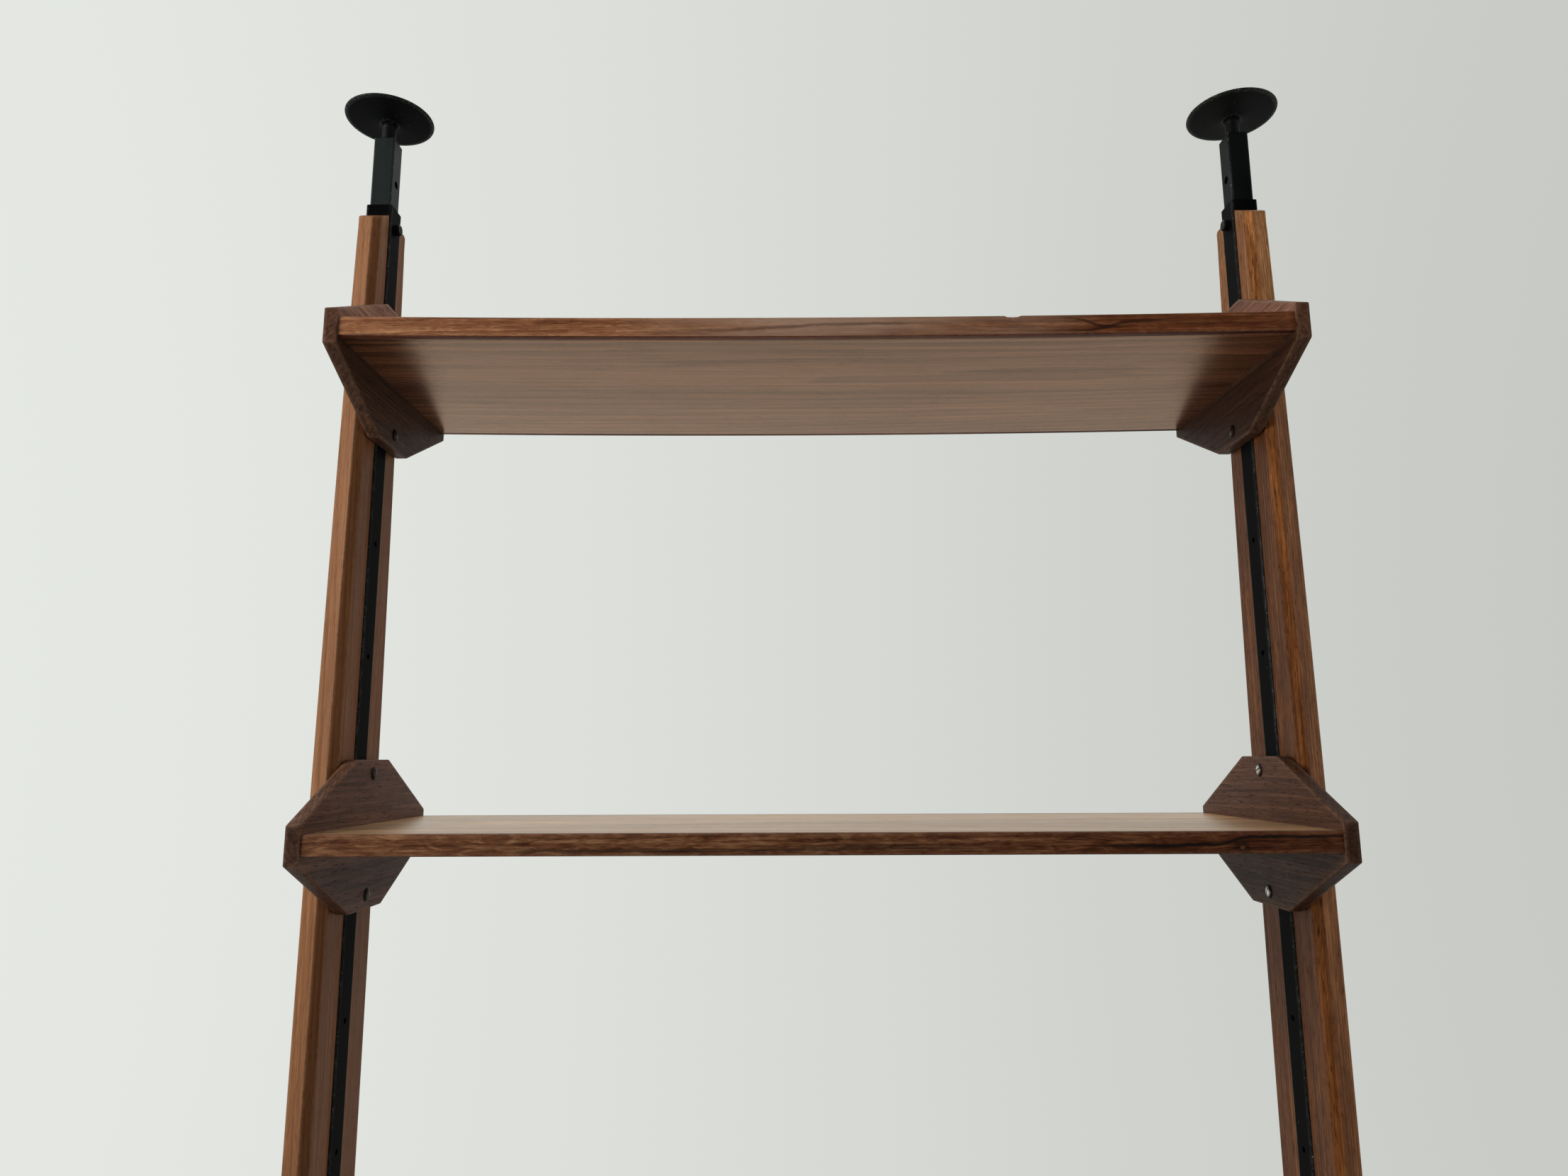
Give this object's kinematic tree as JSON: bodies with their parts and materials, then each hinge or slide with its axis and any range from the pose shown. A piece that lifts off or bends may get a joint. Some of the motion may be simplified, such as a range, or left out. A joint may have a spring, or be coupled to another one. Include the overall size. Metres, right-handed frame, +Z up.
{
  "type": "shelf unit",
  "caption": "Floor-to-ceiling open shelf unit: two steel-cored wooden posts with screw jacks and ceiling discs, and shelves on octagonal end brackets.",
  "frame": {"origin": "on the floor, midway between the two posts and on the line of the post axes", "axes": "+X to the right post, +Y to the rear, +Z up"},
  "size_m": [1.102, 0.316, 2.3305],
  "materials": {
    "black_steel": "satin black paint",
    "plain_steel": "plain turned steel",
    "screw_steel": "dulled steel, slotted",
    "black_plastic": "matt black moulding",
    "post_teak": "oiled teak, straight grain",
    "bracket_rosewood": "oiled dark hardwood",
    "shelf_veneer": "oiled veneer, long grain",
    "edge_rosewood": "oiled solid lipping, streaked",
    "dowel_beech": "bare"
  },
  "bodies": {
    "frame": {"left_post_tube": "black_steel", "left_front_rail": "post_teak", "left_rear_rail": "post_teak", "left_rail_studs": "plain_steel", "left_foot_plug": "black_plastic", "right_post_tube": "black_steel", "right_front_rail": "post_teak", "right_rear_rail": "post_teak", "right_rail_studs": "plain_steel", "right_foot_plug": "black_plastic", "shelf_1_board": "shelf_veneer", "shelf_1_front_edge": "edge_rosewood", "shelf_1_rear_edge": "edge_rosewood", "shelf_1_left_bracket": "bracket_rosewood", "shelf_1_right_bracket": "bracket_rosewood", "shelf_1_bracket_screws": "screw_steel", "shelf_1_dowels": "dowel_beech", "shelf_2_board": "shelf_veneer", "shelf_2_front_edge": "edge_rosewood", "shelf_2_rear_edge": "edge_rosewood", "shelf_2_left_bracket": "bracket_rosewood", "shelf_2_right_bracket": "bracket_rosewood", "shelf_2_bracket_screws": "screw_steel", "shelf_2_dowels": "dowel_beech", "shelf_3_board": "shelf_veneer", "shelf_3_front_edge": "edge_rosewood", "shelf_3_rear_edge": "edge_rosewood", "shelf_3_left_bracket": "bracket_rosewood", "shelf_3_right_bracket": "bracket_rosewood", "shelf_3_bracket_screws": "screw_steel", "shelf_3_dowels": "dowel_beech", "shelf_4_board": "shelf_veneer", "shelf_4_front_edge": "edge_rosewood", "shelf_4_rear_edge": "edge_rosewood", "shelf_4_left_bracket": "bracket_rosewood", "shelf_4_right_bracket": "bracket_rosewood", "shelf_4_bracket_screws": "screw_steel", "shelf_4_dowels": "dowel_beech"},
    "left_foot": {"left_foot_stud": "plain_steel", "left_foot_pad": "black_plastic"},
    "left_lock": {"left_lock_bolt": "black_steel"},
    "left_jack": {"left_jack_tube": "black_steel", "left_jack_nut": "plain_steel"},
    "left_disc": {"left_ceiling_disc": "black_steel"},
    "left_spindle": {"left_jack_spindle": "black_steel"},
    "right_foot": {"right_foot_stud": "plain_steel", "right_foot_pad": "black_plastic"},
    "right_lock": {"right_lock_bolt": "black_steel"},
    "right_jack": {"right_jack_tube": "black_steel", "right_jack_nut": "plain_steel"},
    "right_disc": {"right_ceiling_disc": "black_steel"},
    "right_spindle": {"right_jack_spindle": "black_steel"}
  },
  "joints": [
    {"name": "left_foot_turn", "type": "hinge", "parent": "frame", "child": "left_foot", "pos_m": [-0.501, 0, 0.02], "axis": [0, 0, 1], "range_deg": [-360, 1080]},
    {"name": "left_lock_turn", "type": "hinge", "parent": "frame", "child": "left_lock", "pos_m": [-0.486, 0, 2.1875], "axis": [1, 0, 0], "range_deg": [0, 540]},
    {"name": "left_jack_slide", "type": "slide", "parent": "frame", "child": "left_jack", "axis": [0, 0, 1], "range_m": [-0.08, 0.16]},
    {"name": "left_disc_lift", "type": "slide", "parent": "left_jack", "child": "left_disc", "axis": [0, 0, 1], "range_m": [-0.018, 0.036]},
    {"name": "left_spindle_turn", "type": "hinge", "parent": "left_disc", "child": "left_spindle", "pos_m": [-0.501, 0, 2.3], "axis": [0, 0, 1], "range_deg": [-2161, 4321]},
    {"name": "right_foot_turn", "type": "hinge", "parent": "frame", "child": "right_foot", "pos_m": [0.501, 0, 0.02], "axis": [0, 0, 1], "range_deg": [-360, 1080]},
    {"name": "right_lock_turn", "type": "hinge", "parent": "frame", "child": "right_lock", "pos_m": [0.486, 0, 2.1875], "axis": [-1, 0, 0], "range_deg": [0, 540]},
    {"name": "right_jack_slide", "type": "slide", "parent": "frame", "child": "right_jack", "axis": [0, 0, 1], "range_m": [-0.08, 0.16]},
    {"name": "right_disc_lift", "type": "slide", "parent": "right_jack", "child": "right_disc", "axis": [0, 0, 1], "range_m": [-0.018, 0.036]},
    {"name": "right_spindle_turn", "type": "hinge", "parent": "right_disc", "child": "right_spindle", "pos_m": [0.501, 0, 2.3], "axis": [0, 0, 1], "range_deg": [-2161, 4321]}
  ],
  "couplings": [
    {"joint": "left_spindle_turn", "follows": "left_disc_lift", "rad_per_m": 2094.4},
    {"joint": "right_spindle_turn", "follows": "right_disc_lift", "rad_per_m": 2094.4}
  ]
}
